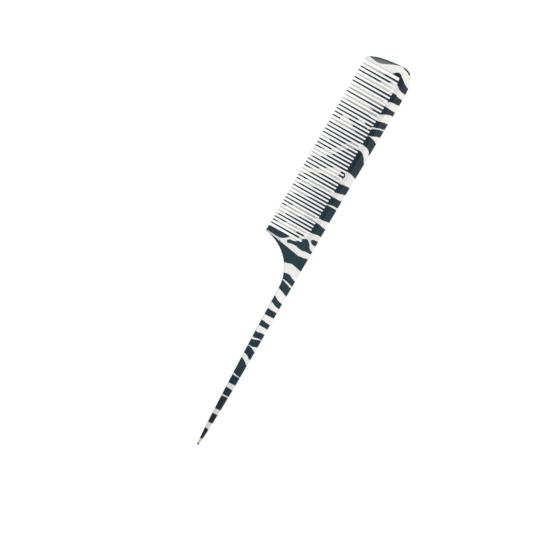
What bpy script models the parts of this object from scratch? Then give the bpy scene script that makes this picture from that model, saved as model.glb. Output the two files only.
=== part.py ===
"""Rat tail comb: a flat moulded comb with 49 fine teeth and a long tapering tail.

The comb lies flat on its face. X runs along its length with the head at +X, the teeth point
to +Y, and Z is the thickness. The outline is written in two working axes, both in
millimetres: u runs from the head end towards the tail tip, and t runs from the back line
towards the tooth tips. Each piece is cut from, or butts against, the same outline.
"""
import math

import bmesh
import bpy
from mathutils import Matrix, Vector

MM = 0.001

# Overall sizes, in millimetres.
LENGTH = 220.0             # head end to tail tip
HEAD_WIDTH = 27.4          # back line to the head guard's tip
TAIL_SWEEP = 1.2           # how far the tail stands behind the back line
THICKNESS = 3.8            # spine, guard bases and neck
MID_Z = THICKNESS / 2
EDGE_ROUND = 0.6           # rounding of the long edges
PARTING = 0.1              # clearance between neighbouring pieces

# Spine and guards.
SPINE_END = 104.0          # where the spine hands over to the neck
FACET_START = 3.5          # the flat land ends here and the bevel down to the teeth starts
ROOT_LINE = 5.95           # where the teeth leave the spine
FIRST_GAP = (5.7, 6.9)     # bottom of the gap beside the head guard
LAST_GAP = (103.75, 7.5)   # bottom of the gap beside the heel guard
ROOT_LEVEL = (11.0, 97.5)  # the root line is level between these
FACET_DROP = 1.0           # thickness lost across the bevel
FACET_FADE = 4.0           # length over which the bevel runs out at each end
GUARD_BASE = LAST_GAP[1]   # both guards start here
GUARD_DROP = 1.6           # thickness that a guard loses towards its tip
GUARD_CORNER = 0.85        # radius of the guards' corners

# The back line, as points of u and t: it bows in by a hair along the head.
BACK_LINE = (
    (14.0, -0.1),
    (22.0, -0.12),
    (40.0, 0.0),
    (58.0, 0.06),
    (78.0, 0.15),
    (98.0, 0.0),
    (113.0, -0.16),
    (124.0, -0.24),
)

# Teeth.
TOOTH_COUNT = 49
FIRST_TOOTH = 8.4          # tip of the first tooth, from the head end
PITCH = 2.081              # first spacing; each later one is a little finer
PITCH_STEP = 0.00248
FIRST_TIP = 27.3           # tooth tips, from the back line
LAST_TIP = 26.1
TOOTH_LEAN = math.radians(1.2)
TOOTH_ROOT = (1.08, 2.8)   # width and thickness where the tooth leaves the spine
TOOTH_END = (0.68, 1.2)    # width and thickness at the tip
TOOTH_EDGE = 0.2           # chamfer along a tooth
TOOTH_NOSE = 0.25          # length of the blunt end that closes a tooth
TOOTH_NOSE_INSET = 0.14    # how far that end draws in

# Neck and tail.
SWEEP_CENTRE = (130.5, 28.15)
SWEEP_RADIUS = 22.75       # the hollow from the heel guard down to the tail
NECK_END = 132.0
TIP_START = 216.0
TIP_ROUNDING = (30, 55, 78)        # angles of the last rings on the rounded tip, in degrees

# Tail stations: distance from the head end, front edge, back edge, thickness.
TAIL = (
    (130.0, 5.45, -0.32, 3.8),
    (148.5, 4.73, -0.66, 3.6),
    (161.5, 4.17, -0.98, 3.4),
    (174.0, 3.53, -1.08, 3.1),
    (187.5, 2.80, -1.20, 2.7),
    (201.0, 2.04, -1.10, 2.2),
    (211.0, 1.38, -0.86, 1.7),
    (218.6, 0.66, -0.48, 1.2),
)

# Teeth that the print leaves mostly pale, and the print's colours.
PALE_TEETH = {1, 4, 7, 8, 10, 11, 17, 30, 34, 42, 43, 47, 48}
DARK = (0.026, 0.044, 0.056)
PALE = (0.84, 0.82, 0.78)
CREAM = (0.62, 0.57, 0.42)


def clear_scene():
    """Remove whatever the file holds."""
    for obj in list(bpy.data.objects):
        bpy.data.objects.remove(obj, do_unlink=True)


def printed_plastic(name, colour):
    """A glossy plastic in one of the print's colours."""
    material = bpy.data.materials.new(name)
    material.use_nodes = True
    shader = material.node_tree.nodes["Principled BSDF"]
    shader.inputs["Base Color"].default_value = (*colour, 1.0)
    shader.inputs["Roughness"].default_value = 0.28
    shader.inputs["Metallic"].default_value = 0.0
    material.diffuse_color = (*colour, 1.0)
    return material


def place(u, t, z):
    """A working point, in millimetres, as a point of the model in metres."""
    x = LENGTH / 2 - u
    y = t - (HEAD_WIDTH - TAIL_SWEEP) / 2
    return Vector((x, y, z)) * MM


def working(point):
    """The working axes u and t of a point of the model."""
    u = LENGTH / 2 - point.x / MM
    t = point.y / MM + (HEAD_WIDTH - TAIL_SWEEP) / 2
    return u, t


def arc(centre, radius, start, end, steps):
    """Points on an arc between two angles, in degrees."""
    points = []
    for step in range(steps + 1):
        angle = math.radians(start + (end - start) * step / steps)
        points.append((centre[0] + radius * math.cos(angle), centre[1] + radius * math.sin(angle)))
    return points


def through(points, steps):
    """A smooth curve through the given points, of any number of values each."""
    padded = [points[0], *points, points[-1]]
    curve = []
    for before, here, there, after in zip(padded, padded[1:], padded[2:], padded[3:]):
        for step in range(steps):
            s = step / steps
            curve.append(tuple(
                0.5 * (2 * b + (c - a) * s + (2 * a - 5 * b + 4 * c - d) * s * s
                       + (3 * b - a - 3 * c + d) * s ** 3)
                for a, b, c, d in zip(before, here, there, after)))
    curve.append(points[-1])
    return curve


def head_outline():
    """The head guard and the rounded head corner, from the first gap round to the back."""
    guard_tip = arc((5.55, HEAD_WIDTH - GUARD_CORNER), GUARD_CORNER, 0, 150, 5)
    end_edge = through([
        (3.75, 25.7),
        (1.85, 20.8),
        (0.65, 14.5),
        (0.0, 8.5),
        (0.32, 5.2),
        (1.8, 2.75),
        (4.9, 1.15),
        (8.8, 0.15),
        BACK_LINE[0],
    ], 3)
    return [FIRST_GAP] + guard_tip + end_edge[:-1]


def heel_outline():
    """The back, the neck, the hollow and the heel guard, back to the last gap."""
    back = through(BACK_LINE, 2) + [(138.0, -0.46)]
    front = [(138.0, 5.16), (131.5, 5.4)]
    hollow = arc(SWEEP_CENTRE, SWEEP_RADIUS, 270, 188.5, 14)
    outer_corner = arc((107.15, 25.25), GUARD_CORNER, 8, 90, 3)
    inner_corner = arc((105.1, 25.25), GUARD_CORNER, 90, 180, 3)
    return back + front + hollow + outer_corner + inner_corner + [LAST_GAP]


def root_outline():
    """The line that the teeth leave, from the heel back to the head."""
    return [(u, ROOT_LINE) for u in reversed(ROOT_LEVEL)]


def thickness_at(u, t):
    """Thickness of the head: flat land, bevel down to the teeth, guards that thin out."""
    run_in = min(1.0, max(0.0, (u - FACET_FADE) / FACET_FADE))
    run_out = min(1.0, max(0.0, (SPINE_END - u) / FACET_FADE))
    bevel = min(1.0, max(0.0, (t - FACET_START) / (ROOT_LINE - FACET_START)))
    wedge = max(0.0, (t - GUARD_BASE) / (HEAD_WIDTH - GUARD_BASE))
    return THICKNESS - FACET_DROP * bevel * min(run_in, run_out) - GUARD_DROP * wedge


def cut(bm, point, direction, keep_inside=False):
    """Cut the mesh across at a working point; direction is +u or +t, and may be negative."""
    normal = Vector((-direction[0], direction[1], 0.0))
    bmesh.ops.bisect_plane(
        bm,
        geom=bm.verts[:] + bm.edges[:] + bm.faces[:],
        plane_co=place(*point, 0.0),
        plane_no=normal,
        dist=1e-7,
        clear_outer=keep_inside,
    )
    if keep_inside:
        open_edges = [edge for edge in bm.edges if edge.is_boundary]
        bmesh.ops.holes_fill(bm, edges=open_edges, sides=0)


def is_root_edge(edge):
    """True for an edge along the line that the teeth leave."""
    spots = [working(vert.co) for vert in edge.verts]
    return all(5.0 < u < SPINE_END and FACET_START < t < GUARD_BASE + 0.01 for u, t in spots)


def plate():
    """Head, guards and neck in one: the outline extruded, rounded and thinned."""
    outline = head_outline() + heel_outline() + root_outline()
    bm = bmesh.new()
    corners = [bm.verts.new(place(u, t, 0.0)) for u, t in outline]
    face = bm.faces.new(corners)
    raised = bmesh.ops.extrude_face_region(bm, geom=[face])
    top = [item for item in raised["geom"] if isinstance(item, bmesh.types.BMVert)]
    bmesh.ops.translate(bm, verts=top, vec=Vector((0.0, 0.0, THICKNESS * MM)))
    bmesh.ops.recalc_face_normals(bm, faces=bm.faces[:])
    rims = [
        edge for edge in bm.edges
        if abs(edge.verts[0].co.z - edge.verts[1].co.z) < 1e-9 and not is_root_edge(edge)
    ]
    bmesh.ops.bevel(
        bm,
        geom=rims,
        offset=EDGE_ROUND * MM,
        offset_type="OFFSET",
        segments=2,
        profile=0.5,
        affect="EDGES",
        clamp_overlap=False,
    )
    for u in (FACET_FADE, 2 * FACET_FADE, SPINE_END - FACET_FADE):
        cut(bm, (u, 0.0), (1, 0))
    for t in (FACET_START, ROOT_LINE):
        cut(bm, (0.0, t), (0, 1))
    for vert in bm.verts:
        ratio = thickness_at(*working(vert.co)) / THICKNESS
        vert.co.z = (MID_Z + (vert.co.z / MM - MID_Z) * ratio) * MM
    return bm


def finish(name, bm, material):
    """Turn a mesh into a named object with its own origin at its middle."""
    bmesh.ops.remove_doubles(bm, verts=bm.verts[:], dist=2e-6)
    bmesh.ops.triangulate(bm, faces=[face for face in bm.faces if len(face.verts) > 4])
    bmesh.ops.recalc_face_normals(bm, faces=bm.faces[:])
    low = Vector([min(vert.co[axis] for vert in bm.verts) for axis in range(3)])
    high = Vector([max(vert.co[axis] for vert in bm.verts) for axis in range(3)])
    middle = (low + high) / 2
    bmesh.ops.translate(bm, verts=bm.verts[:], vec=-middle)
    mesh = bpy.data.meshes.new(name)
    bm.to_mesh(mesh)
    bm.free()
    mesh.shade_smooth()
    mesh.set_sharp_from_angle(angle=math.radians(35))
    mesh.materials.append(material)
    obj = bpy.data.objects.new(name, mesh)
    obj.location = middle
    bpy.context.scene.collection.objects.link(obj)
    return obj


def plate_piece(name, whole, limits, material):
    """Cut one piece out of the plate; each limit is a working point and a way out."""
    bm = whole.copy()
    for point, outward in limits:
        cut(bm, point, outward, keep_inside=True)
    return finish(name, bm, material)


def add_head(pale, dark):
    """The spine, both guards and the neck."""
    whole = plate()
    half = PARTING / 2
    plate_piece("spine", whole, [
        ((0.0, GUARD_BASE - half), (0, 1)),
        ((SPINE_END - half, 0.0), (1, 0)),
    ], pale)
    plate_piece("head_end_guard", whole, [
        ((0.0, GUARD_BASE + half), (0, -1)),
        ((SPINE_END / 2, 0.0), (1, 0)),
    ], pale)
    plate_piece("heel_guard", whole, [
        ((0.0, GUARD_BASE + half), (0, -1)),
        ((SPINE_END / 2, 0.0), (-1, 0)),
    ], dark)
    plate_piece("neck", whole, [
        ((0.0, GUARD_BASE - half), (0, 1)),
        ((SPINE_END + half, 0.0), (-1, 0)),
        ((NECK_END - half, 0.0), (1, 0)),
    ], dark)
    whole.free()


def tail_section(u, front, back, thickness):
    """A rounded rectangle across the tail, as points of the model."""
    half_width = (front - back) / 2
    centre = (front + back) / 2
    half_height = thickness / 2
    radius = min(EDGE_ROUND, 0.55 * half_width, 0.55 * half_height)
    ring = []
    for side_t, side_z, start in ((1, 1, 0), (-1, 1, 90), (-1, -1, 180), (1, -1, 270)):
        corner = (
            centre + side_t * (half_width - radius),
            MID_Z + side_z * (half_height - radius),
        )
        ring += [place(u, t, z) for t, z in arc(corner, radius, start, start + 90, 2)]
    return ring


def skin(rings):
    """Join rings of points into one closed tube."""
    bm = bmesh.new()
    loops = [[bm.verts.new(point) for point in ring] for ring in rings]
    for near, far in zip(loops, loops[1:]):
        for index, vert in enumerate(near):
            follower = near[(index + 1) % len(near)]
            bm.faces.new((vert, follower, far[(index + 1) % len(far)], far[index]))
    bm.faces.new(loops[0])
    bm.faces.new(loops[-1])
    return bm


def tail_at(u):
    """Front edge, back edge and thickness of the tail at a distance from the head end."""
    stations = through(TAIL, 6)
    for near, far in zip(stations, stations[1:]):
        if near[0] <= u <= far[0]:
            share = (u - near[0]) / (far[0] - near[0])
            return [a + (b - a) * share for a, b in zip(near[1:], far[1:])]
    return list(stations[-1][1:])


def add_tail(material):
    """The long taper between the neck and the tip."""
    start = NECK_END + PARTING / 2
    end = TIP_START - PARTING / 2
    count = 12
    steps = [start + (end - start) * step / count for step in range(count + 1)]
    finish("tail", skin([tail_section(u, *tail_at(u)) for u in steps]), material)


def add_tail_tip(material):
    """The last few millimetres, rounded off at the end."""
    start = TIP_START + PARTING / 2
    shoulder = TAIL[-1][0]
    rings = [tail_section(u, *tail_at(u)) for u in (start, (start + shoulder) / 2, shoulder)]
    front, back, thickness = tail_at(shoulder)
    centre = (front + back) / 2
    for degrees in TIP_ROUNDING:
        reach = math.sin(math.radians(degrees)) / math.sin(math.radians(TIP_ROUNDING[-1]))
        shrink = math.cos(math.radians(degrees))
        u = shoulder + (LENGTH - shoulder) * reach
        rings.append(tail_section(
            u,
            centre + (front - centre) * shrink,
            centre + (back - centre) * shrink,
            thickness * shrink,
        ))
    finish("tail_tip", skin(rings), material)


def tooth_mesh(length):
    """One tooth along +Y from its root: tapered, with chamfered edges and a blunt tip."""
    bm = bmesh.new()
    bmesh.ops.create_cube(bm, size=1.0)
    for vert in bm.verts:
        at_tip = vert.co.y > 0
        width, thickness = TOOTH_END if at_tip else TOOTH_ROOT
        vert.co = Vector((
            math.copysign(width / 2, vert.co.x),
            length if at_tip else 0.0,
            math.copysign(thickness / 2, vert.co.z),
        )) * MM
    long_edges = [edge for edge in bm.edges if abs(edge.verts[0].co.y - edge.verts[1].co.y) > MM]
    bmesh.ops.bevel(
        bm,
        geom=long_edges,
        offset=TOOTH_EDGE * MM,
        offset_type="OFFSET",
        segments=1,
        affect="EDGES",
        clamp_overlap=True,
    )
    end = [face for face in bm.faces if face.calc_center_median().y > 0.999 * length * MM]
    bmesh.ops.inset_region(bm, faces=end, thickness=TOOTH_NOSE_INSET * MM, depth=0.0)
    for vert in end[0].verts:
        vert.co.y += TOOTH_NOSE * MM
    return bm


def tooth_lines():
    """Root point and tip point of each tooth's centre line, in working axes."""
    lines = []
    for index in range(TOOTH_COUNT):
        tip_t = FIRST_TIP + (LAST_TIP - FIRST_TIP) * index / (TOOTH_COUNT - 1)
        tip_u = FIRST_TOOTH + PITCH * index - PITCH_STEP * index ** 2
        root_u = tip_u - math.tan(TOOTH_LEAN) * (tip_t - ROOT_LINE)
        half_width = TOOTH_ROOT[0] / 2
        root_t = PARTING + max(root_height(root_u - half_width), root_height(root_u + half_width))
        lines.append(((root_u, root_t), (tip_u, tip_t)))
    return lines


def root_height(u):
    """Height of the line that the teeth leave: it rises at both ends of the row."""
    line = [FIRST_GAP, *((level, ROOT_LINE) for level in ROOT_LEVEL), LAST_GAP]
    for (u0, t0), (u1, t1) in zip(line, line[1:]):
        if u <= u1:
            return t0 + (t1 - t0) * (u - u0) / (u1 - u0)
    return GUARD_BASE


def add_teeth(pale, dark):
    """The row of teeth, each a piece of its own."""
    for number, (root, tip) in enumerate(tooth_lines(), start=1):
        bm = tooth_mesh(math.dist(root, tip) - TOOTH_NOSE)
        stand = Matrix.Translation(place(*root, MID_Z)) @ Matrix.Rotation(TOOTH_LEAN, 4, "Z")
        bmesh.ops.transform(bm, matrix=stand, verts=bm.verts[:])
        finish(f"tooth_{number:02d}", bm, pale if number in PALE_TEETH else dark)


def main():
    clear_scene()
    pale = printed_plastic("pale_print", PALE)
    dark = printed_plastic("dark_print", DARK)
    cream = printed_plastic("tip_print", CREAM)
    add_head(pale, dark)
    add_tail(dark)
    add_tail_tip(cream)
    add_teeth(pale, dark)


main()
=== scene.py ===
"""Looks of the rat tail comb: refined moulded shapes and the zebra print that covers them.

Two working axes are used for shape and print alike, both in millimetres: u runs from the
head end towards the tail tip, and t runs from the back line towards the tooth tips.
"""

import math
from collections import namedtuple

import bmesh
import bpy
from mathutils import Matrix, Vector


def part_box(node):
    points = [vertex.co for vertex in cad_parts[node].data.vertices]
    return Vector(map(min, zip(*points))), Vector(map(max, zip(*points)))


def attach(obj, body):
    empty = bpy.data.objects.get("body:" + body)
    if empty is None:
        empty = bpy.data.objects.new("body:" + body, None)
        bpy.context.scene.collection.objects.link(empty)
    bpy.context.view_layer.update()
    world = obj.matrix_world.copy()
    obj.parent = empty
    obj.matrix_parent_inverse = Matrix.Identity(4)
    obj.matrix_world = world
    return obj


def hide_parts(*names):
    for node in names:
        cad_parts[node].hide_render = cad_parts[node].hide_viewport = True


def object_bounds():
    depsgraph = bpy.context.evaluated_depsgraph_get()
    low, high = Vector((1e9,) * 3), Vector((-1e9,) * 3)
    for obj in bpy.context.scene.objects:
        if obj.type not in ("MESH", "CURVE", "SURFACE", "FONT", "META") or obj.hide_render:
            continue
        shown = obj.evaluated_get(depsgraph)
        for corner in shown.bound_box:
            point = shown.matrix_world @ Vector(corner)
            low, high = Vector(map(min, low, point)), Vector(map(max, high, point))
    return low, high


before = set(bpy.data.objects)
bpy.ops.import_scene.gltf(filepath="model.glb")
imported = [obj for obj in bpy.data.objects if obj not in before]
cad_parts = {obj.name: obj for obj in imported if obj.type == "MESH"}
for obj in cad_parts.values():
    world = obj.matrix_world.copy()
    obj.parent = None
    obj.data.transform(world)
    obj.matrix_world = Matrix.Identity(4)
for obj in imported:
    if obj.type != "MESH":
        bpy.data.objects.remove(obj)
CAD_LOW, CAD_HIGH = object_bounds()

MM = 0.001
SPINE_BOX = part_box("spine")
HEAD_X = CAD_HIGH[0]                     # u = 0
HEAD_WIDTH = 27.4                        # back line to the head guard's tip
BACK_Y = CAD_HIGH[1] - HEAD_WIDTH * MM   # t = 0
THICKNESS = (SPINE_BOX[1][2] - SPINE_BOX[0][2]) / MM
MID_Z = THICKNESS / 2
LENGTH = (CAD_HIGH[0] - CAD_LOW[0]) / MM
TOOTH_COUNT = sum(name.startswith("tooth_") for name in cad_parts)

# The moulding's own sizes, in millimetres, as the CAD has them.
FACET_START = 3.5                        # the flat land ends and the bevel to the teeth starts
ROOT_LINE = 5.95                         # where the teeth leave the spine
FACET_DROP = 1.0                         # thickness lost across the bevel
FACET_FADE = 4.0                         # length over which the bevel runs out at each end
SPINE_END = 104.0
GUARD_BASE = 7.5
GUARD_DROP = 1.6                         # thickness that a guard loses towards its tip
GUARD_CORNER = 0.85
NECK_END = 132.0
TIP_START = 216.0
FIRST_GAP = (5.7, 6.9)                   # bottoms of the gaps beside the two guards
LAST_GAP = (103.75, GUARD_BASE)
ROOT_LEVEL = (11.0, 97.5)                # the root line is level between these
SWEEP_CENTRE = (130.5, 28.15)
SWEEP_RADIUS = 22.75
SWEEP_ANGLES = (267, 188.5)              # from the tail up to the heel guard, in degrees
TOOTH_ROOT = (1.08, 2.8)                 # width and thickness
TOOTH_END = (0.68, 1.2)

# What the finished moulding adds, in millimetres.
EDGE_ROUND = 0.52
ROOT_ROUND = 0.2                         # the softer rim at the bottom of the gaps
TOOTH_EMBED = 0.45                       # how far a tooth reaches into the spine
TOOTH_NOSE = 0.45
TOOTH_EDGE = 0.22
NOSE_ANGLES = (25, 45, 62, 76, 86)       # steps round a tooth's nose, in degrees
RIM_ANGLES = (90, 66, 44, 22, 0)         # steps round the rounded rims, in degrees
DRAFT = 0.03                             # how far the walls stand back from the parting line
CREST = 0.12                             # half the height of the parting line's crest
GAP_CORNER = 0.38                        # rounded corners at the bottom of each gap
GAP_TUCK = 0.02                          # how far the gap's bottom reaches under the teeth
FACET_REACH = 1.2                        # the bevel runs on past the root line by this share
FADE_CUTS = 8                            # cuts across the stretches where the bevel fades
TIP_THINNING = 0.75
SHARP_ANGLE = math.radians(32)

# The print: spans of its two axes (start, length), edge softness and wander, and inks; with them
# the painted shade and sheen laid over the print.
SPAN_T = (-2.0, 32.0)
SPAN_U = (-10.0, 250.0)
INK_EDGE = 0.1
INK_SPREAD = 0.1                         # how far the dark ink runs past its edges
INK_WANDER = 0.5
TAIL_FADE = (148.0, 205.0)               # the tail's colours take over between these
NECK_FADE = (60.0, 112.0)
# The rim's tint below is painted shade: where the surface turns away from upright, the pale
# darkens.
RIM_TURN = (0.985, 0.86)                 # how upright the surface is where the rim's tint comes in
# Painted sheen: lighter bands along the head's land, on the dark ink.
SHEEN_BAND_RATE = 3.49                         # faint bands along the land: phase per millimetre
SHEEN_BAND_START = 0.75
GLOSS = 0.36
RIM_GLOSS_LOSS = 0.26
PALE = (0.835, 0.83, 0.795)
PALE_TAIL = (0.60, 0.585, 0.535)
# The next colour is painted shade: the teeth's pale beyond their roots, darker where their narrow
# sides fall in shade.
PALE_TOOTH_SHADE = (0.60, 0.585, 0.54)
PALE_PINK = (0.80, 0.70, 0.69)
PALE_GREY = (0.68, 0.68, 0.66)
# The next colour is painted shade on the rims that turn away from upright.
PALE_RIM_SHADE = (0.62, 0.62, 0.60)
CREAM = (0.56, 0.515, 0.39)
CREAM_SHADE = (0.47, 0.43, 0.33)
DARK_HEAD = (0.009, 0.023, 0.033)
DARK_NECK = (0.009, 0.034, 0.046)
DARK_TAIL = (0.002, 0.013, 0.020)
DARK_BLUE = (0.006, 0.028, 0.043)
DARK_GREY = (0.036, 0.045, 0.054)

# The studio.
CAMERA_HEIGHT = 1.2
VIEW_WIDTH = 0.2725
VIEW_CENTRE = (-0.013455, 0.0031945)
COMB_TILT = math.radians(30.67)          # between the comb and the picture's upright
FLOOR_HALF = 6.0
FLOOR_COLOUR = (0.1, 0.1, 0.1)
FLOOR_GLOW = 0.93
SKY = ((0.0, 1.0), (0.08, 1.0), (0.2, 0.35), (0.5, 0.7), (0.76, 0.9), (0.92, 0.1), (1.0, 0.1))

# The back line, as points of u and t: it bows in by a hair along the head. It stands up to
# 0.1 mm outside the CAD's, and so does the tail's first station.
BACK_LINE = (
    (14.0, -0.18),
    (22.0, -0.2),
    (40.0, -0.1),
    (58.0, -0.04),
    (78.0, 0.06),
    (98.0, -0.1),
    (113.0, -0.24),
    (124.0, -0.34),
)

# Tail stations: distance from the head end, front edge, back edge, thickness.
TAIL = (
    (130.0, 5.4, -0.4, 3.8),
    (148.5, 4.73, -0.66, 3.6),
    (161.5, 4.17, -0.98, 3.4),
    (174.0, 3.53, -1.08, 3.1),
    (187.5, 2.80, -1.20, 2.7),
    (201.0, 2.04, -1.10, 2.2),
    (211.0, 1.38, -0.86, 1.7),
    (218.6, 0.66, -0.48, 1.2),
)

# ---------------------------------------------------------------- working axes and curves


def place(u, t, z):
    """A working point, in millimetres, as a point of the model in metres."""
    return Vector((HEAD_X - u * MM, BACK_Y + t * MM, z * MM))


def working(point):
    """The working axes u and t of a point of the model."""
    return (HEAD_X - point.x) / MM, (point.y - BACK_Y) / MM


def arc(centre, radius, start, end, steps):
    """Points on an arc between two angles, in degrees."""
    points = []
    for step in range(steps + 1):
        angle = math.radians(start + (end - start) * step / steps)
        points.append((centre[0] + radius * math.cos(angle), centre[1] + radius * math.sin(angle)))
    return points


def through(points, steps):
    """A smooth curve through the given points, of any number of values each."""
    padded = [points[0], *points, points[-1]]
    curve = []
    for before, here, there, after in zip(padded, padded[1:], padded[2:], padded[3:]):
        for step in range(steps):
            s = step / steps
            curve.append(tuple(
                0.5 * (2 * b + (c - a) * s + (2 * a - 5 * b + 4 * c - d) * s * s
                       + (3 * b - a - 3 * c + d) * s ** 3)
                for a, b, c, d in zip(before, here, there, after)))
    curve.append(points[-1])
    return curve


TAIL_CURVE = through(TAIL, 8)


def tail_at(u):
    """Front edge, back edge and thickness of the tail at a distance from the head end."""
    for near, far in zip(TAIL_CURVE, TAIL_CURVE[1:]):
        if u <= far[0]:
            share = (u - near[0]) / (far[0] - near[0])
            return [a + (b - a) * share for a, b in zip(near[1:], far[1:])]
    return list(TAIL_CURVE[-1][1:])


# ---------------------------------------------------------------- teeth


def tooth_line(number):
    """Root and tip of a tooth's centre line, in working axes, from its CAD box."""
    low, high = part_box(f"tooth_{number:02d}")
    root_u = (HEAD_X - high[0]) / MM + TOOTH_ROOT[0] / 2
    tip_u = (HEAD_X - low[0]) / MM - TOOTH_END[0] / 2
    return (root_u, (low[1] - BACK_Y) / MM), (tip_u, (high[1] - BACK_Y) / MM)


def rounded_ring(width, thickness, reach, steps=3):
    """A rounded rectangle around a tooth, at a distance along it."""
    radius = min(TOOTH_EDGE, 0.49 * width, 0.49 * thickness)
    ring = []
    for side_x, side_z, start in ((1, 1, 0), (-1, 1, 90), (-1, -1, 180), (1, -1, 270)):
        corner = (side_x * (width / 2 - radius), side_z * (thickness / 2 - radius))
        for x, z in arc(corner, radius, start, start + 90, steps):
            ring.append(Vector((x * MM, reach * MM, z * MM)))
    return ring


def skin(rings):
    """Join rings of points into one closed tube."""
    bm = bmesh.new()
    loops = [[bm.verts.new(point) for point in ring] for ring in rings]
    for near, far in zip(loops, loops[1:]):
        for index, vert in enumerate(near):
            follower = near[(index + 1) % len(near)]
            bm.faces.new((vert, follower, far[(index + 1) % len(far)], far[index]))
    bm.faces.new(loops[0])
    bm.faces.new(loops[-1])
    return bm


def tooth_body(number):
    """One tooth: it grows out of the spine, tapers both ways and ends in a rounded nose."""
    root, tip = tooth_line(number)
    length = math.dist(root, tip)
    shoulder = length - TOOTH_NOSE
    rings = []
    for share in (0.0, 0.25, 0.5, 0.75, 1.0):
        reach = -TOOTH_EMBED + (shoulder + TOOTH_EMBED) * share
        width, depth = [
            start + (end - start) * max(0.0, reach) / length
            for start, end in zip(TOOTH_ROOT, TOOTH_END)
        ]
        rings.append(rounded_ring(width, depth, reach))
    for angle in map(math.radians, NOSE_ANGLES):
        shrink = math.cos(angle) ** 0.8
        reach = shoulder + TOOTH_NOSE * math.sin(angle)
        rings.append(rounded_ring(width * shrink, depth * (0.35 + 0.65 * shrink), reach))
    bm = skin(rings)
    lean = math.atan2(tip[0] - root[0], tip[1] - root[1])
    stand = Matrix.Translation(place(*root, MID_Z)) @ Matrix.Rotation(lean, 4, "Z")
    bmesh.ops.transform(bm, matrix=stand, verts=bm.verts[:])
    return bm


# ---------------------------------------------------------------- the moulding's outline


def head_outline():
    """The head guard and the rounded head corner, from the first gap round to the back."""
    guard_tip = arc((5.55, HEAD_WIDTH - GUARD_CORNER), GUARD_CORNER, 0, 150, 10)
    end_edge = through([
        (3.75, 25.7),
        (1.85, 20.8),
        (0.65, 14.5),
        (0.03, 8.5),
        (0.32, 5.2),
        (1.8, 2.75),
        (4.9, 1.15),
        (8.8, 0.15),
        BACK_LINE[0],
    ], 8)[:-1]
    inner_side = (FIRST_GAP[0] + 0.08, GUARD_BASE + GUARD_CORNER)
    return [(*point, EDGE_ROUND) for point in [inner_side] + guard_tip + end_edge]


def tail_outline():
    """The back from head to tail, round the tip and up the front."""
    back = [(*point, EDGE_ROUND) for point in through(BACK_LINE, 6)]
    front = []
    for u, front_t, back_t, thickness in TAIL_CURVE:
        edge = min(EDGE_ROUND, 0.27 * (front_t - back_t), 0.27 * thickness)
        back.append((u, back_t, edge))
        front.append((u, front_t, edge))
    u, front_t, back_t, thickness = TAIL_CURVE[-1]
    centre = (front_t + back_t) / 2
    half = (front_t - back_t) / 2
    tip = [
        (u + (LENGTH - u) * math.sin(math.radians(angle)),
         centre - half * math.cos(math.radians(angle)), edge * 0.9)
        for angle in range(20, 170, 20)
    ]
    return back + tip + front[::-1]


def heel_outline():
    """The hollow and the heel guard, back to the last gap."""
    hollow = arc(SWEEP_CENTRE, SWEEP_RADIUS, *SWEEP_ANGLES, 48)
    outer_corner = arc((107.15, 25.25), GUARD_CORNER, 8, 90, 8)
    inner_corner = arc((105.1, 25.25), GUARD_CORNER, 90, 180, 8)
    inner_side = (LAST_GAP[0] + 0.02, GUARD_BASE + 2 * GUARD_CORNER)
    corners = outer_corner + inner_corner
    return [(*point, EDGE_ROUND) for point in hollow + corners + [inner_side]]


def root_height(u):
    """Height of the line that the teeth leave: it rises at both ends of the row."""
    line = [FIRST_GAP, *((level, ROOT_LINE) for level in ROOT_LEVEL), LAST_GAP]
    for (u0, t0), (u1, t1) in zip(line, line[1:]):
        if u <= u1:
            return t0 + (t1 - t0) * (u - u0) / (u1 - u0)
    return GUARD_BASE


def root_outline():
    """The bottoms of the gaps between the teeth, with rounded corners, from heel to head."""
    sides = [FIRST_GAP[0]]
    for number in range(1, TOOTH_COUNT + 1):
        (root_u, _), _ = tooth_line(number)
        half = TOOTH_ROOT[0] / 2 - GAP_TUCK
        sides += [root_u - half, root_u + half]
    sides.append(LAST_GAP[0])
    gaps = []
    for near, far in reversed(list(zip(sides[::2], sides[1::2]))):
        far_corner = (far - GAP_CORNER, root_height(far) + GAP_CORNER)
        near_corner = (near + GAP_CORNER, root_height(near) + GAP_CORNER)
        gaps += arc(far_corner, GAP_CORNER, 0, -90, 4)
        gaps += arc(near_corner, GAP_CORNER, -90, -180, 4)
    return [(*point, ROOT_ROUND) for point in gaps]


# ---------------------------------------------------------------- the moulding's skin


def clamp(value, low=0.0, high=1.0):
    """The value, held between two limits."""
    return min(high, max(low, value))


def thickness_at(u, t):
    """Thickness of the moulding: flat land, bevel to the teeth, thinner guards, thin tail."""
    if u > TAIL[0][0]:
        reach = clamp((u - TAIL[-1][0]) / (LENGTH - TAIL[-1][0]))
        return tail_at(u)[2] * math.sqrt(1 - TIP_THINNING * reach ** 2)
    run_in = clamp((u - FACET_FADE) / FACET_FADE)
    run_out = clamp((SPINE_END - u) / FACET_FADE)
    bevel = clamp((t - FACET_START) / (ROOT_LINE - FACET_START), high=FACET_REACH)
    wedge = max(0.0, (t - GUARD_BASE) / (HEAD_WIDTH - GUARD_BASE))
    return THICKNESS - FACET_DROP * bevel * min(run_in, run_out) - GUARD_DROP * wedge


def inward(outline):
    """The way into the material at each point of the outline, mitred at corners."""
    ways = []
    around = zip(outline[-1:] + outline[:-1], outline, outline[1:] + outline[:1])
    for (u0, t0, _), (u1, t1, _), (u2, t2, _) in around:
        before = Vector((t0 - t1, u1 - u0)).normalized()
        after = Vector((t1 - t2, u2 - u1)).normalized()
        ways.append((before + after) / (1 + before.dot(after)))
    return ways


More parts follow.
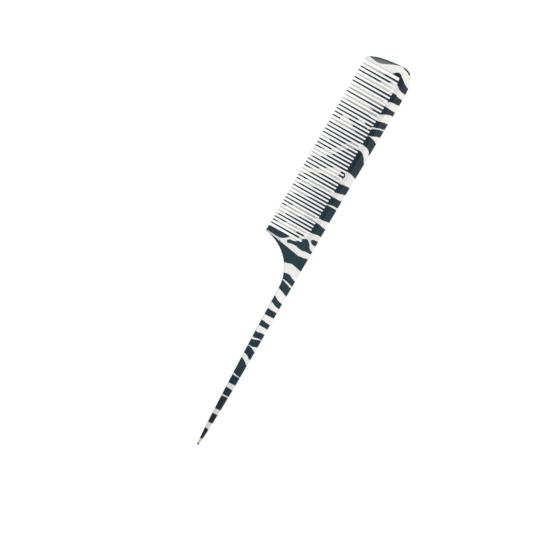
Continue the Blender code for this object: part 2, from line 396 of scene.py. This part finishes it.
def body():
    """The whole moulding but its teeth: rounded rims, drafted walls and a parting line."""
    outline = head_outline() + tail_outline() + heel_outline() + root_outline()
    ways = inward(outline)

    def ring(inset, offset):
        return [
            place(u + way.x * inset(edge), t + way.y * inset(edge), MID_Z + offset(edge))
            for (u, t, edge), way in zip(outline, ways)
        ]

    halves = []
    for side in (1, -1):
        half = []
        for angle in RIM_ANGLES:
            draw_in = 1 - math.cos(math.radians(angle))
            drop = 1 - math.sin(math.radians(angle))
            half.append(ring(
                lambda edge: DRAFT + edge * draw_in,
                lambda edge: side * (THICKNESS / 2 - edge * drop)))
        half.append(ring(lambda edge: DRAFT, lambda edge: side * CREST))
        halves.append(half)
    crest = ring(lambda edge: 0.0, lambda edge: 0.0)
    return skin(halves[0] + [crest] + halves[1][::-1])


def cut(bm, point, direction, where=None, keep_inside=False):
    """Cut the mesh across at a working point; direction is +u or +t, and may be negative."""
    faces = [
        face for face in bm.faces
        if where is None or where(*working(face.calc_center_bounds()))
    ]
    edges = {edge for face in faces for edge in face.edges}
    verts = {vert for face in faces for vert in face.verts}
    bmesh.ops.bisect_plane(
        bm,
        geom=[*verts, *edges, *faces],
        plane_co=place(*point, 0.0),
        plane_no=Vector((-direction[0], direction[1], 0.0)),
        dist=1e-7,
        clear_outer=keep_inside,
    )
    if keep_inside:
        open_edges = [edge for edge in bm.edges if edge.is_boundary]
        bmesh.ops.holes_fill(bm, edges=open_edges, sides=0)


def crease(bm):
    """Add the lines along which the thickness changes its slope."""
    cut(bm, (SPINE_END, 0.0), (1, 0))
    cut(bm, (0.0, FACET_START), (0, 1), where=lambda u, t: u < SPINE_END)
    fades = [FACET_FADE + FACET_FADE * step / FADE_CUTS for step in range(FADE_CUTS + 1)]
    for u in fades:
        cut(bm, (u, 0.0), (1, 0), where=lambda u, t: u < SPINE_END and t > FACET_START)
        cut(bm, (SPINE_END - u + FACET_FADE, 0.0), (1, 0),
            where=lambda u, t: u < SPINE_END and t > FACET_START)
    cut(bm, (0.0, FACET_START + FACET_REACH * (ROOT_LINE - FACET_START)), (0, 1),
        where=lambda u, t: u < 2 * FACET_FADE or SPINE_END - FACET_FADE < u < SPINE_END)
    for u, *_ in TAIL_CURVE[::3]:
        cut(bm, (u, 0.0), (1, 0), where=lambda u, t: u > SPINE_END)
    for share in (0.3, 0.6, 0.8, 0.92):
        u = TAIL[-1][0] + (LENGTH - TAIL[-1][0]) * share
        cut(bm, (u, 0.0), (1, 0), where=lambda u, t: u > SPINE_END)


def thin(bm):
    """Bring both faces to the thickness; the rims keep their shape and the crest flattens."""
    for vert in bm.verts:
        half = thickness_at(*working(vert.co)) / 2
        offset = vert.co.z / MM - MID_Z
        if abs(offset) > 1.01 * CREST:
            offset -= math.copysign(THICKNESS / 2 - half, offset)
        else:
            offset *= 2 * half / THICKNESS
        vert.co.z = (MID_Z + offset) * MM
    bmesh.ops.recalc_face_normals(bm, faces=bm.faces[:])


def on_crease(vert):
    """True for a point on the line where the flat land turns into the bevel."""
    u, t = working(vert.co)
    return abs(t - FACET_START) < 0.001 and FACET_FADE < u < SPINE_END


def finish_piece(node, bm, material):
    """Turn a mesh into the piece that stands for a CAD node."""
    bmesh.ops.remove_doubles(bm, verts=bm.verts[:], dist=1e-6)
    bmesh.ops.recalc_face_normals(bm, faces=bm.faces[:])
    creases = [all(map(on_crease, edge.verts)) for edge in bm.edges]
    mesh = bpy.data.meshes.new(f"moulded_{node}")
    bm.to_mesh(mesh)
    bm.free()
    mesh.shade_smooth()
    mesh.set_sharp_from_angle(angle=SHARP_ANGLE)
    for edge, creased in zip(mesh.edges, creases):
        if creased:
            edge.use_edge_sharp = True
    mesh.materials.append(material)
    piece = bpy.data.objects.new(f"moulded_{node}", mesh)
    bpy.context.scene.collection.objects.link(piece)
    normals = piece.modifiers.new("flat_faces_lead", "WEIGHTED_NORMAL")
    normals.keep_sharp = True
    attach(piece, "root")
    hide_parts(node)
    return piece


# ---------------------------------------------------------------- the zebra print, with painted shade and sheen
# A dark stripe lies between two edges, the first nearer to the head end. An edge is a smooth
# line through points (t, u). A stripe may also be limited to a range of t.

Stripe = namedtuple("Stripe", "near far limits strength", defaults=((-9, 40), 1.0))

DARK_STRIPES = (
    # the grey lens on the head guard's end edge: print at part strength, its grey a painted
    # reflection on the bevelled edge
    Stripe(((0, -9), (30, -9)),
           ((9.6, 0.1), (10.5, 0.6), (12, 1.1), (15, 2.5), (18, 3.9), (21, 4.5), (24, 4.3),
            (27, 3.4)),
           (9.8, 40), 0.84),
    # its darker border
    Stripe(((0, -9), (30, -9)),
           ((9.3, 0.4), (12, 1.05), (14.5, 1.5), (17.5, 2.05), (20.8, 2.8), (23, 3.5), (25.2, 4.1),
            (26, 4.1)),
           (9.3, 25.3), 0.96),
    # the dark rim on the head's corner
    Stripe(((0, -9), (30, -9)),
           ((3.2, 2.2), (4.5, 1.6), (5.5, 1.15), (6.8, 0.75), (8, 0.5)), (3.2, 8.1)),
    # across the first teeth
    Stripe(((0, 8.5), (2, 7.8), (5.5, 5.4), (8.4, 3.8), (12, 6.5), (14.5, 8.15), (17, 9),
            (27, 9.2)),
           ((0, 11.8), (3.5, 11.2), (6, 9.6), (8, 9.3), (9, 9.5), (9.6, 10), (10.4, 10.7),
            (13.2, 11.7), (14.2, 12.2), (15.2, 12.9), (27, 13.5))),
    Stripe(((0, 15.1), (3.2, 14.9), (3.8, 14.3), (5.8, 14.2), (6.6, 14.9), (27, 15.3)),
           ((0, 18.4), (4, 18.7), (6, 19.3), (27, 19.7))),
    Stripe(((0, 22.4), (6, 22.2), (7.2, 22.7), (9, 22.9), (27, 23.4)),
           ((0, 24.6), (3, 25.3), (6, 26.9), (9, 27.4), (10.6, 26.7), (12.5, 26.3), (15, 25.9),
            (27, 25.9))),
    # the widest stripe
    Stripe(((0, 29.4), (3, 30), (6, 30.6), (8, 30.7), (10, 30.45), (12.5, 29.9), (27, 29.6)),
           ((0, 47.8), (1.5, 46), (4, 45), (6, 44.8), (9, 45.5), (12.1, 47.1), (15.2, 51.1),
            (16.8, 53.2), (18.8, 55.1), (23.6, 57.1), (27, 58.1))),
    # the second widest
    Stripe(((0, 52.9), (2, 50.3), (4, 48.6), (6, 48.3), (8, 48.9), (11.8, 51), (15.2, 55),
            (19, 59), (21.3, 61), (24.9, 62.8), (27, 63.5)),
           ((0, 61.6), (3, 60.9), (6, 60.7), (8, 61.6), (12, 62), (15.7, 64.5), (18.4, 66.4),
            (22, 68.3), (27, 69.2))),
    # a spot at the roots
    Stripe(((5, 63.6), (5.6, 62.5), (6.5, 62), (8, 62), (8.8, 63.6)),
           ((5, 63.6), (5.6, 65), (6.5, 65.5), (8, 65.5), (8.8, 63.6)), (4.9, 8.9)),
    Stripe(((0, 67.3), (3, 67.6), (5, 67.9), (14.3, 67.7), (18.3, 69), (21.3, 70.2), (23.3, 72),
            (27, 73.2)),
           ((0, 71.6), (4, 72.7), (12, 73.2), (19.5, 73.4), (21.3, 74.3), (23, 75.6), (27, 76.9))),
    Stripe(((0, 75.6), (12, 75.7), (17.6, 76.3), (22.5, 77.9), (27, 78.8)),
           ((0, 79.4), (3, 79.5), (6, 80.2), (9, 80.6), (20, 80.6), (27, 81))),
    Stripe(((0, 80.6), (6, 80.8), (16.3, 81.8), (22.9, 83.7), (27, 84.9)),
           ((0, 87.9), (4, 88.5), (15, 88.5), (19.6, 88.7), (23.2, 91.3), (25.6, 93), (27, 93.6))),
    Stripe(((0, 91.9), (6, 91.3), (12.5, 91.9), (15, 93), (19, 94), (21.2, 94.8), (24.4, 96.8),
            (27, 97.8)),
           ((0, 96.3), (6, 97), (12, 97.6), (17.5, 97.8), (19.2, 98.6), (21, 99.6), (23.2, 100.5),
            (27, 101.4))),
    # the last two teeth
    Stripe(((9.5, 101.3), (27, 101.5)), ((9.5, 103.2), (27, 103.4)), (9.6, 40)),
    Stripe(((8, 99.5), (12.5, 99.6)), ((8, 101.1), (12.5, 101.2)), (8, 12.3)),
    # the eye at the back
    Stripe(((-1, 99.5), (1.5, 99.4), (2.6, 99.6), (3.4, 100.3)),
           ((-1, 101.9), (1.5, 101.9), (2.6, 101.6), (3.4, 100.8)), (-9, 3.5)),
    # the finger that runs up the heel guard
    Stripe(((0, 105.3), (1.3, 105), (3.3, 102.6), (4.6, 101.4), (5.6, 101), (6.6, 101.4),
            (7.5, 102.1), (8.3, 103.3), (9.6, 104.4), (10.8, 105.1), (13.3, 105.5), (14.2, 106.3)),
           ((0, 106.6), (3, 106.8), (5.4, 107.3), (7, 107), (8.8, 106.7), (12, 107.1),
            (13.3, 107.5), (14.2, 106.7)), (-9, 14.2)),
    # the heel guard's inner half
    Stripe(((13, 103.2), (27, 103.2)),
           ((13.8, 104.1), (14.6, 105), (15.8, 106), (17.6, 107), (20, 107.2), (27, 107.1)),
           (13.8, 40)),
    # painted shade along the heel guard's outer edge, where the rim turns away from the light,
    # laid in as weak ink
    Stripe(((14, 109.4), (16, 108.6), (18.5, 107.6), (27, 107.2)), ((14, 112), (27, 112)),
           (14, 40), 0.26),
    # the neck
    Stripe(((0, 109.6), (2.5, 110.2), (5, 110.5), (10, 109.8), (16, 109), (22, 108.3)),
           ((0, 116.6), (5.4, 115.8), (7.7, 116.3), (9.6, 116.8), (20, 118))),
    # the tail, from the neck to the tip, and last a painted shadow at the tip's end
    Stripe(((0, 122.72), (2.9, 121.62), (5.1, 121.12), (7, 121.52)),
           ((0, 125.6), (2.9, 124.9), (7, 124.5))),
    Stripe(((0, 126.72), (2.9, 125.92), (6, 125.22)), ((0, 131.3), (2.9, 130.4), (5.5, 129.6))),
    Stripe(((0, 136.02), (2.9, 135.32), (5.1, 134.12)), ((-0.3, 138.9), (1.9, 138.6), (5, 137.6))),
    Stripe(((0, 141.52), (5, 141.42)), ((0, 144.6), (5, 144.8))),
    Stripe(((0, 148.42), (5, 148.02)), ((0, 150.9), (5, 151.0))),
    Stripe(((0, 154.22), (4.3, 154.62)), ((0, 157.2), (4.3, 157.8))),
    Stripe(((-0.8, 157.72), (1.7, 158.42), (4.2, 159.22)),
           ((-0.8, 161.6), (1.7, 162.4), (4.2, 162.4))),
    Stripe(((-0.8, 164.32), (1.6, 163.22), (4, 162.92)),
           ((-0.8, 168.9), (1.6, 167.6), (4, 167.0))),
    Stripe(((-0.9, 172.32), (1.4, 170.72), (3.7, 169.92)), ((-0.9, 179.2), (3.5, 178.6))),
    Stripe(((-0.9, 179.82), (3.1, 179.72)), ((-0.9, 184.0), (3.1, 184.3))),
    Stripe(((-1, 186.92), (2.7, 186.92)), ((-1, 190.8), (2.7, 190.8))),
    Stripe(((-1, 191.62), (2.4, 191.82)), ((-1, 199.0), (2.4, 199.1))),
    Stripe(((-0.9, 201.82), (2, 201.92)), ((-0.9, 206.7), (2, 206.9))),
    Stripe(((-0.8, 210.52), (1.5, 210.22)), ((-0.8, 216.0), (1.5, 216.3))),
    # Painted shadow: the dark end of the tip, laid in as ink over the cream.
    Stripe(((-1, 218.9), (2, 218.9)), ((-1, 229), (2, 229))),
)

PALE_CUTS = (
    # the thin line and the wedge in the widest stripe
    Stripe(((0, 32.9), (2, 33.3), (4, 33.9), (6, 34.6), (8, 36.2)),
           ((0, 33.5), (2, 33.9), (4, 34.6), (6, 35.6), (8, 36.7)), (-9, 8)),
    Stripe(((0, 37.3), (3, 38.4), (6, 39.4)), ((0, 41), (1.5, 40.3), (3, 39.8), (6, 39.5)),
           (-9, 6)),
    # bare stretches of its teeth
    Stripe(((10.2, 34), (14.3, 34)), ((10.2, 35.8), (14.3, 35.8)), (10.4, 14.2)),
    Stripe(((12.5, 41), (14, 39.9), (15.6, 38.8), (17.5, 38.2), (18.3, 37.4), (19.2, 36.2),
            (22, 36.2), (22.8, 39.8), (27, 39.9)),
           ((12.5, 42), (27, 42.1)), (12.5, 40)),
    Stripe(((21.5, 50.2), (27, 50.2)), ((21.5, 52), (27, 52.1)), (21.7, 40)),
)

# Thin washes of ink on the pale stretches of some teeth: tooth, from, to, strength.
WASHES = (
    (1, 14.5, 18, 0.42), (1, 18, 24, 0.2), (8, 6.5, 26, 0.46), (11, 6.5, 24.5, 0.42),
    (17, 13, 16, 0.55), (17, 16, 24, 0.3), (20, 6.5, 11, 0.33), (21, 6.5, 9, 0.6),
    (21, 9, 13, 0.5), (22, 11.2, 14.8, 0.45), (23, 13, 16, 0.4), (24, 15.5, 17.5, 0.2),
    (27, 21.5, 26, 0.2), (30, 6.5, 12, 0.25), (34, 6.5, 20, 0.28), (35, 18, 23, 0.25),
    (38, 16.5, 25, 0.2), (42, 6.5, 13, 0.4), (42, 13, 21, 0.28), (43, 6.5, 13, 0.3),
    (43, 16, 22.5, 0.25), (44, 15, 21, 0.42), (47, 13, 18, 0.25), (48, 12.5, 16, 0.25),
)


def along(edge, t):
    """Where an edge of a stripe is at a height t."""
    if t <= edge[0][0]:
        return edge[0][1]
    for (t0, u0), (t1, u1) in zip(edge, edge[1:]):
        if t <= t1:
            return u0 + (u1 - u0) * (t - t0) / (t1 - t0)
    return edge[-1][1]


def crosses(stripe, footprint):
    """True if a stripe reaches a piece; the footprint gives its u range at a few heights."""
    return any(
        stripe.limits[0] - 0.5 < t < stripe.limits[1] + 0.5
        and along(stripe.near, t) < far + 0.6 and along(stripe.far, t) > near - 0.6
        for t, near, far in footprint
    )


def footprint_of(node):
    """The u range that a piece covers, at steps of t."""
    low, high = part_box(node)
    if node.startswith("tooth_"):
        (root_u, root_t), (tip_u, tip_t) = tooth_line(int(node[-2:]))
        half = TOOTH_ROOT[0] / 2
        centres = [
            (root_t + (tip_t - root_t) * step / 40, root_u + (tip_u - root_u) * step / 40)
            for step in range(41)
        ]
        return [(t, u - half, u + half) for t, u in centres]
    far, start = working(low)
    near, end = working(high)
    return [(start + (end - start) * step / 60, near, far) for step in range(61)]


class Graph:
    """Builds one material's nodes in few words."""

    def __init__(self, material):
        self.nodes = material.node_tree.nodes
        self.links = material.node_tree.links

    def feed(self, socket, value):
        if isinstance(value, bpy.types.NodeSocket):
            self.links.new(value, socket)
        else:
            socket.default_value = value

    def node(self, kind, inputs, output=0, **settings):
        made = self.nodes.new("ShaderNode" + kind)
        for key, value in settings.items():
            setattr(made, key, value)
        for socket, value in inputs.items():
            self.feed(made.inputs[socket], value)
        return made.outputs[output]

    def math(self, operation, first, second=0.0):
        return self.node("Math", {0: first, 1: second}, operation=operation)

    def axes(self, vector):
        """The three parts of a vector."""
        apart = self.nodes.new("ShaderNodeSeparateXYZ")
        self.feed(apart.inputs[0], vector)
        return list(apart.outputs)

    def ramp(self, value, low, high, start=0.0, end=1.0):
        """A smooth step from start to end as the value goes from low to high."""
        return self.node("MapRange", {0: value, 1: low, 2: high, 3: start, 4: end},
                         interpolation_type="SMOOTHSTEP")

    def mix(self, share, first, second):
        """A blend of two colours."""
        first, second = [
            value if isinstance(value, bpy.types.NodeSocket) else (*value, 1.0)
            for value in (first, second)
        ]
        return self.node("Mix", {0: share, 6: first, 7: second}, output=2, data_type="RGBA")

    def noise(self, spot, size, detail=2.0, stretch=(1, 1, 1), output=0, offset=0.0):
        """Noise with features of a size in millimetres, drawn out along an axis."""
        scale = tuple(1 / (size * amount) for amount in stretch)
        moved = self.node("Mapping", {"Vector": spot, "Scale": scale, "Location": (offset,) * 3})
        return self.node("TexNoise", {"Vector": moved, "Scale": 1.0, "Detail": detail}, output)

    def edge(self, points, height):
        """An edge of a stripe as a curve from height to place, both as shares of their span."""
        made = self.nodes.new("ShaderNodeFloatCurve")
        curve = made.mapping.curves[0]
        knots = [((t - SPAN_T[0]) / SPAN_T[1], (u - SPAN_U[0]) / SPAN_U[1]) for t, u in points]
        ends = [(0.0, knots[0][1]), *knots, (1.0, knots[-1][1])]
        while len(curve.points) < len(ends):
            curve.points.new(0.5, 0.5)
        for point, spot in zip(curve.points, ends):
            point.location = spot
            point.handle_type = "AUTO_CLAMPED"
        made.mapping.update()
        self.feed(made.inputs["Value"], height)
        return made.outputs[0]

    def stripe(self, stripe, place_share, height_share, height, spread=0.0):
        """How much of a stripe is at a point."""
        soft = INK_EDGE / SPAN_U[1]
        after = self.math("SUBTRACT", place_share, self.edge(stripe.near, height_share))
        before = self.math("SUBTRACT", self.edge(stripe.far, height_share), place_share)
        run = spread / SPAN_U[1]
        inside = self.ramp(self.math("MINIMUM", after, before), -soft - run, soft - run)
        for limit, side in zip(stripe.limits, (1, -1)):
            if -9 < limit < 40:
                soft_end = self.ramp(height, limit - side * INK_EDGE, limit + side * INK_EDGE)
                inside = self.math("MULTIPLY", inside, soft_end)
        if stripe.strength < 1:
            inside = self.math("MULTIPLY", inside, stripe.strength)
        return inside


def ink_on(graph, node, u, t):
    """How much dark ink is at a point of one piece."""
    footprint = footprint_of(node)
    u_share = graph.math("DIVIDE", graph.math("SUBTRACT", u, SPAN_U[0]), SPAN_U[1])
    t_share = graph.math("DIVIDE", graph.math("SUBTRACT", t, SPAN_T[0]), SPAN_T[1])
    ink = 0.0
    for stripe in DARK_STRIPES:
        if crosses(stripe, footprint):
            inside = graph.stripe(stripe, u_share, t_share, t, INK_SPREAD)
            ink = graph.math("MAXIMUM", ink, inside)
    for stripe in PALE_CUTS:
        if crosses(stripe, footprint):
            bare = graph.math("SUBTRACT", 1.0, graph.stripe(stripe, u_share, t_share, t))
            ink = graph.math("MULTIPLY", ink, bare)
    for number, start, end, strength in WASHES:
        if node == f"tooth_{number:02d}":
            wash = graph.math("MULTIPLY", graph.ramp(t, start - 0.4, start + 0.4),
                              graph.ramp(t, end + 0.4, end - 0.4, 0.0, strength))
            ink = graph.math("MAXIMUM", ink, wash)
    return ink


def pale_plastic(graph, node, u, t, rim, spot, clouds, streaks):
    """Colour of the bare plastic: greyer along the middle; painted shade on the bevel, the rims
    and the teeth beyond their roots.
    """
    pale = graph.mix(graph.ramp(u, *TAIL_FADE), PALE, PALE_TAIL)
    if node == "tail_tip":
        pale = graph.mix(graph.ramp(clouds, 0.35, 0.65), CREAM, CREAM_SHADE)
    # Painted shade: the teeth's pale darkens beyond their roots.
    if node.startswith("tooth_"):
        pale = graph.mix(graph.ramp(t, 6.5, 8.5), pale, PALE_TOOTH_SHADE)
    else:
        middle = graph.math("MULTIPLY", graph.ramp(u, 25, 60), graph.ramp(u, 128, 112, 0.0, 0.38))
        pale = graph.mix(middle, pale, PALE_GREY)
        # Painted shade on the rims, where the surface turns away from upright.
        pale = graph.mix(graph.math("MULTIPLY", rim, 0.8), pale, PALE_RIM_SHADE)
    # Painted shade on the spine's bevel, which tilts away from the light.
    if node == "spine":
        run = graph.math("MULTIPLY", graph.ramp(u, 5, 10), graph.ramp(u, 104, 98))
        bevel = graph.math("MULTIPLY", run, graph.ramp(t, 3.3, 3.9, 0.0, 0.6))
        pale = graph.mix(bevel, pale, PALE_GREY)
    blush = graph.noise(spot, 4.0, detail=2.0, stretch=(2.5, 1, 1), offset=7.7)
    pale = graph.mix(graph.ramp(blush, 0.54, 0.8, 0.0, 0.4), pale, PALE_PINK)
    pale = graph.mix(graph.ramp(clouds, 0.5, 0.8, 0.0, 0.5), pale, PALE_GREY)
    return graph.mix(graph.ramp(streaks, 0.56, 0.75, 0.0, 0.25), pale, PALE_GREY)


def dark_ink(graph, node, u, t, clouds, streaks):
    """Colour of the ink: it deepens from head to tail, with painted sheen in faint lighter bands
    on the head's land.
    """
    dark = graph.mix(graph.ramp(u, *NECK_FADE), DARK_HEAD, DARK_NECK)
    dark = graph.mix(graph.ramp(u, *TAIL_FADE), dark, DARK_TAIL)
    dark = graph.mix(graph.ramp(clouds, 0.4, 0.75, 0.0, 0.5), dark, DARK_BLUE)
    dark = graph.mix(graph.ramp(streaks, 0.55, 0.8, 0.0, 0.35), dark, DARK_GREY)
    if node == "spine":
        # Painted sheen: lighter bands along the head's land.
        phase = graph.math("MULTIPLY", graph.math("SUBTRACT", t, SHEEN_BAND_START), SHEEN_BAND_RATE)
        wave = graph.math("SINE", phase)
        lane = graph.math("MULTIPLY", graph.ramp(t, 3.6, 3.2), graph.ramp(u, 80, 55))
        bands = graph.math("MULTIPLY", lane, graph.ramp(wave, 0.0, 1.0, 0.0, 0.45))
        dark = graph.mix(bands, dark, DARK_GREY)
    return dark


def wear_on(graph, u, t, spot, clouds):
    """Specks where the ink has rubbed off: at the tooth tips and along the head's back."""
    back = graph.math("MULTIPLY", graph.ramp(t, 0.2, -0.3), graph.ramp(u, 130, 115))
    rubbed = graph.math("MAXIMUM", graph.ramp(t, 24.6, 26.8), back)
    rubbed = graph.math("MULTIPLY", rubbed, graph.ramp(clouds, 0.46, 0.64))
    specks = graph.noise(spot, 0.35, detail=1.0, offset=1.3)
    return graph.math("MULTIPLY", rubbed, graph.ramp(specks, 0.6, 0.7, 0.0, 0.45))


def finish_surface(graph, shader, spot, ink, worn):
    """Smudges and scratches in the gloss; orange peel, sink marks and the ink's edge in relief."""
    smudges = graph.noise(spot, 9.0, detail=4.0, offset=5.5)
    scratches = graph.noise(spot, 0.16, detail=1.0, stretch=(60, 1, 30), offset=9.1)
    scratched = graph.ramp(scratches, 0.66, 0.74)
    rough = graph.ramp(smudges, 0.3, 0.7, 0.2, 0.32)
    rough = graph.math("ADD", rough, graph.math("MULTIPLY", scratched, 0.14))
    rough = graph.math("ADD", rough, graph.math("MULTIPLY", worn, 0.2))
    graph.feed(shader.inputs["Roughness"], rough)

    peel = graph.noise(spot, 0.45, detail=2.0, offset=2.2)
    sink = graph.noise(spot, 11.0, detail=1.0, offset=6.4)
    height = graph.math("MULTIPLY", peel, 0.0022)
    height = graph.math("ADD", height, graph.math("MULTIPLY", sink, 0.05))
    height = graph.math("SUBTRACT", height, graph.math("MULTIPLY", scratched, 0.0035))
    height = graph.math("ADD", height, graph.math("MULTIPLY", ink, 0.004))
    bump = graph.node("Bump", {"Height": height, "Distance": MM, "Strength": 1.0})
    graph.feed(shader.inputs["Normal"], bump)


def zebra_print(node):
    """Gloss plastic with the part of the print that falls on one piece."""
    material = bpy.data.materials.new(f"print_on_{node}")
    material.use_nodes = True
    graph = Graph(material)
    shader = graph.nodes["Principled BSDF"]

    here = graph.node("TexCoord", {}, output="Object")
    spot = graph.node("Mapping", {
        "Vector": here,
        "Location": (HEAD_X / MM, -BACK_Y / MM, 0.0),
        "Scale": (-1 / MM, 1 / MM, 1 / MM),
    })
    ripple = graph.noise(spot, 2.2, detail=3.0, output=1)
    centred = graph.node("VectorMath", {0: ripple, 1: (0.5, 0.5, 0.5)}, operation="SUBTRACT")
    wander = graph.node("VectorMath", {0: centred, "Scale": INK_WANDER}, operation="SCALE")
    inked = graph.node("VectorMath", {0: spot, 1: wander}, operation="ADD")
    u, t, _ = graph.axes(inked)
    clouds = graph.noise(spot, 7.0, detail=3.0, offset=3.1)
    streaks = graph.noise(spot, 0.5, detail=3.0, stretch=(24, 1, 4))

    rim = 0.0
    gloss = GLOSS
    if not node.startswith("tooth_"):
        facing = graph.axes(graph.node("TexCoord", {}, output="Normal"))
        # How far the surface turns from upright: it sets the painted shade on the rims and the
        # gloss they lose.
        rim = graph.ramp(graph.math("ABSOLUTE", facing[2]), *RIM_TURN)
        gloss = graph.math("SUBTRACT", GLOSS, graph.math("MULTIPLY", rim, RIM_GLOSS_LOSS))

    pale = pale_plastic(graph, node, u, t, rim, spot, clouds, streaks)
    dark = dark_ink(graph, node, u, t, clouds, streaks)
    worn = wear_on(graph, u, t, spot, clouds)
    kept = graph.math("SUBTRACT", 1.0, worn)
    ink = graph.math("MULTIPLY", ink_on(graph, node, u, t), kept)
    graph.feed(shader.inputs["Base Color"], graph.mix(ink, pale, dark))
    graph.feed(shader.inputs["Specular IOR Level"], gloss)
    finish_surface(graph, shader, spot, ink, worn)
    shader.inputs["IOR"].default_value = 1.5
    shader.inputs["Metallic"].default_value = 0.0
    return material


# ---------------------------------------------------------------- the pieces


def add_body_pieces():
    """Part the moulding into its named pieces."""
    whole = body()
    crease(whole)
    thin(whole)
    below = ((0.0, GUARD_BASE), (0, 1))
    above = ((0.0, GUARD_BASE), (0, -1))
    pieces = {
        "spine": [below, ((SPINE_END, 0.0), (1, 0))],
        "head_end_guard": [above, ((SPINE_END / 2, 0.0), (1, 0))],
        "heel_guard": [above, ((LAST_GAP[0] - 0.5, 0.0), (-1, 0))],
        "neck": [below, ((SPINE_END, 0.0), (-1, 0)), ((NECK_END, 0.0), (1, 0))],
        "tail": [((NECK_END, 0.0), (-1, 0)), ((TIP_START, 0.0), (1, 0))],
        "tail_tip": [((TIP_START, 0.0), (-1, 0))],
    }
    for node, limits in pieces.items():
        bm = whole.copy()
        for point, outward in limits:
            cut(bm, point, outward, keep_inside=True)
        finish_piece(node, bm, zebra_print(node))
    whole.free()


def add_teeth():
    """The row of teeth."""
    for number in range(1, TOOTH_COUNT + 1):
        node = f"tooth_{number:02d}"
        finish_piece(node, tooth_body(number), zebra_print(node))


# ---------------------------------------------------------------- camera, floor and light


def add_camera():
    """Straight down on the comb, which runs up and to the right across the picture."""
    data = bpy.data.cameras.new("camera")
    data.sensor_width = 36.0
    data.lens = data.sensor_width * CAMERA_HEIGHT / VIEW_WIDTH
    data.clip_start = 0.05
    data.clip_end = 50.0
    camera = bpy.data.objects.new("camera", data)
    camera.location = (VIEW_CENTRE[0], VIEW_CENTRE[1], CAMERA_HEIGHT + THICKNESS * MM)
    camera.rotation_euler = (0.0, 0.0, COMB_TILT - math.pi / 2)
    bpy.context.scene.collection.objects.link(camera)
    bpy.context.scene.camera = camera


def add_floor():
    """A plain white light table: it glows, so that the gaps between the teeth stay bright."""
    bm = bmesh.new()
    bmesh.ops.create_grid(bm, x_segments=1, y_segments=1, size=FLOOR_HALF)
    mesh = bpy.data.meshes.new("floor")
    bm.to_mesh(mesh)
    bm.free()
    floor = bpy.data.objects.new("floor", mesh)
    floor.location = (0.0, 0.0, -0.0001)
    material = bpy.data.materials.new("light_table")
    material.use_nodes = True
    shader = material.node_tree.nodes["Principled BSDF"]
    shader.inputs["Base Color"].default_value = (*FLOOR_COLOUR, 1.0)
    shader.inputs["Roughness"].default_value = 0.9
    shader.inputs["Specular IOR Level"].default_value = 0.1
    shader.inputs["Emission Color"].default_value = (1.0, 1.0, 1.0, 1.0)
    shader.inputs["Emission Strength"].default_value = FLOOR_GLOW
    mesh.materials.append(material)
    bpy.context.scene.collection.objects.link(floor)


def add_world():
    """A dome: white at the horizon, bright halfway up and dim overhead, where gloss mirrors it."""
    world = bpy.data.worlds.new("studio")
    world.use_nodes = True
    graph = Graph(world)
    direction = graph.node("TexCoord", {}, output="Generated")
    sky = graph.node("ValToRGB", {0: graph.axes(direction)[2]})
    stops = sky.node.color_ramp.elements
    while len(stops) < len(SKY):
        stops.new(0.5)
    for stop, (rise, grey) in zip(stops, SKY):
        stop.position = rise
        stop.color = (grey, grey, grey, 1.0)
    graph.feed(graph.nodes["Background"].inputs["Color"], sky)
    bpy.context.scene.world = world


def add_softbox(name, azimuth, elevation, distance, width, height, power):
    """A soft light that faces the comb from a direction, in degrees."""
    data = bpy.data.lights.new(name, "AREA")
    data.shape = "RECTANGLE"
    data.size = width
    data.size_y = height
    data.energy = power
    light = bpy.data.objects.new(name, data)
    across, up = math.radians(azimuth), math.radians(elevation)
    way = Vector((math.cos(across) * math.cos(up), math.sin(across) * math.cos(up), math.sin(up)))
    light.location = way * distance
    light.rotation_euler = way.to_track_quat("Z", "Y").to_euler()
    bpy.context.scene.collection.objects.link(light)


def add_lights():
    """A key from the comb's back, a fill from its teeth and a panel over the head's land."""
    add_softbox("key_softbox", -90, 62, 1.6, 1.6, 0.8, 15.6)
    add_softbox("fill_softbox", 90, 45, 1.6, 1.6, 0.8, 1.0)
    add_softbox("overhead_panel", 0, 80, 1.45, 0.6, 0.5, 0.75)


add_camera()
add_body_pieces()
add_teeth()
add_floor()
add_world()
add_lights()
bpy.context.scene.view_settings.view_transform = "Standard"
